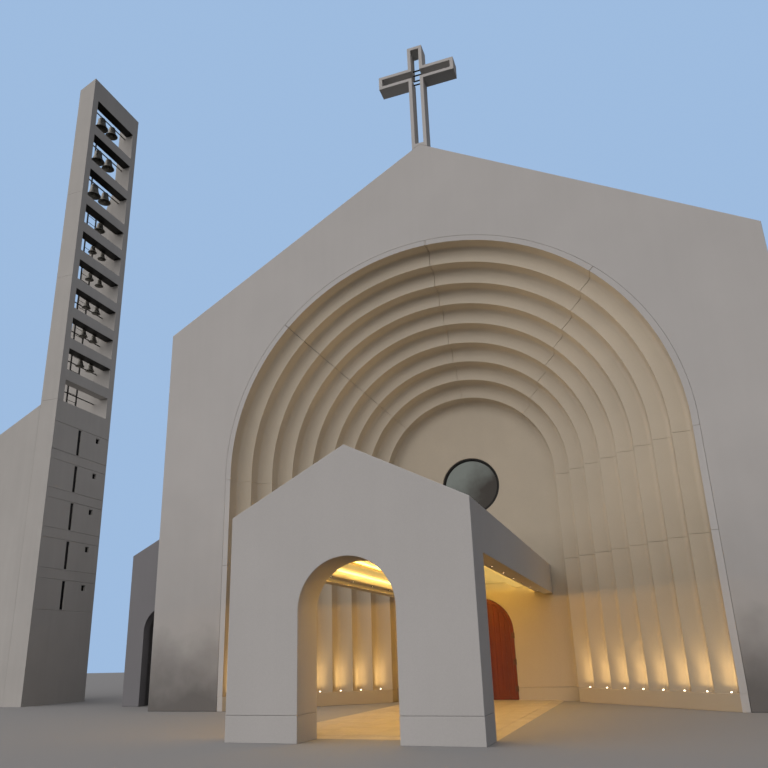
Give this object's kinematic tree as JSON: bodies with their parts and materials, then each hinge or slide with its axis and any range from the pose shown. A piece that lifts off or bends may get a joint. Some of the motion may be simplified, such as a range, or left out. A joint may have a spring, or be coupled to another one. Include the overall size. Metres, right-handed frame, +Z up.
{
  "type": "modern church building",
  "caption": "Gabled concrete church front with a deep stepped round arch, a gabled porch, a tall open cross, a plain nave with side passages and a slender bell tower.",
  "frame": {"origin": "on the ground, on the church's axis, in the plane of the main front", "axes": "+X to the right along the front, +Y into the building, +Z up"},
  "size_m": [38.6, 36.5, 32.8],
  "materials": {
    "concrete": "smooth, pale grey-beige",
    "roofing": "matt sheet",
    "plaster": "smooth, warm white",
    "paving": "honed",
    "door_wood": "varnished, red-brown",
    "dark_metal": "satin",
    "bronze": "dark, aged",
    "glass": "clear, grey"
  },
  "bodies": {
    "church": {"recess_left_plinth": "concrete", "recess_right_plinth": "concrete", "recess_left_jamb": "concrete", "recess_right_jamb": "concrete", "recess_arch_left_foot": "concrete", "recess_arch_left_crown": "concrete", "recess_arch_right_crown": "concrete", "recess_arch_right_foot": "concrete", "front_left_pier": "concrete", "front_right_pier": "concrete", "front_left_gable": "concrete", "front_right_gable": "concrete", "portal_left_wall": "concrete", "portal_right_wall": "concrete", "portal_upper_wall": "concrete", "round_window_frame": "dark_metal", "round_window_glass": "glass", "porch_left_pier": "concrete", "porch_right_pier": "concrete", "porch_gable": "concrete", "porch_left_beam": "concrete", "porch_right_beam": "concrete", "porch_left_roof": "concrete", "porch_right_roof": "concrete", "porch_ceiling": "plaster", "porch_floor": "paving", "cross": "concrete", "nave_left_wall": "concrete", "nave_right_wall": "concrete", "nave_left_roof": "roofing", "nave_right_roof": "roofing", "nave_left_glass": "glass", "nave_right_glass": "glass", "nave_rear_wall": "concrete", "nave_floor": "paving", "side_left_front_wall": "concrete", "side_right_front_wall": "concrete", "side_left_outer_wall": "concrete", "side_right_outer_wall": "concrete", "side_left_roof": "roofing", "side_right_roof": "roofing", "tower_shaft": "concrete", "tower_lower_belfry": "concrete", "tower_middle_belfry": "concrete", "tower_upper_belfry": "concrete", "tower_wing_wall": "concrete", "tower_rear_wing_wall": "concrete", "bells_short_openings": "bronze", "bells_tall_openings": "bronze"},
    "left_door": {"door_left_leaf": "door_wood"},
    "right_door": {"door_right_leaf": "door_wood"}
  },
  "joints": [
    {"name": "left_door_hinge", "type": "hinge", "parent": "church", "child": "left_door", "pos_m": [-1.23, 5.1566, 1.35], "axis": [0, 0, -1], "range_deg": [0, 90]},
    {"name": "right_door_hinge", "type": "hinge", "parent": "church", "child": "right_door", "pos_m": [1.23, 5.1566, 1.35], "axis": [0, 0, 1], "range_deg": [0, 90]}
  ]
}
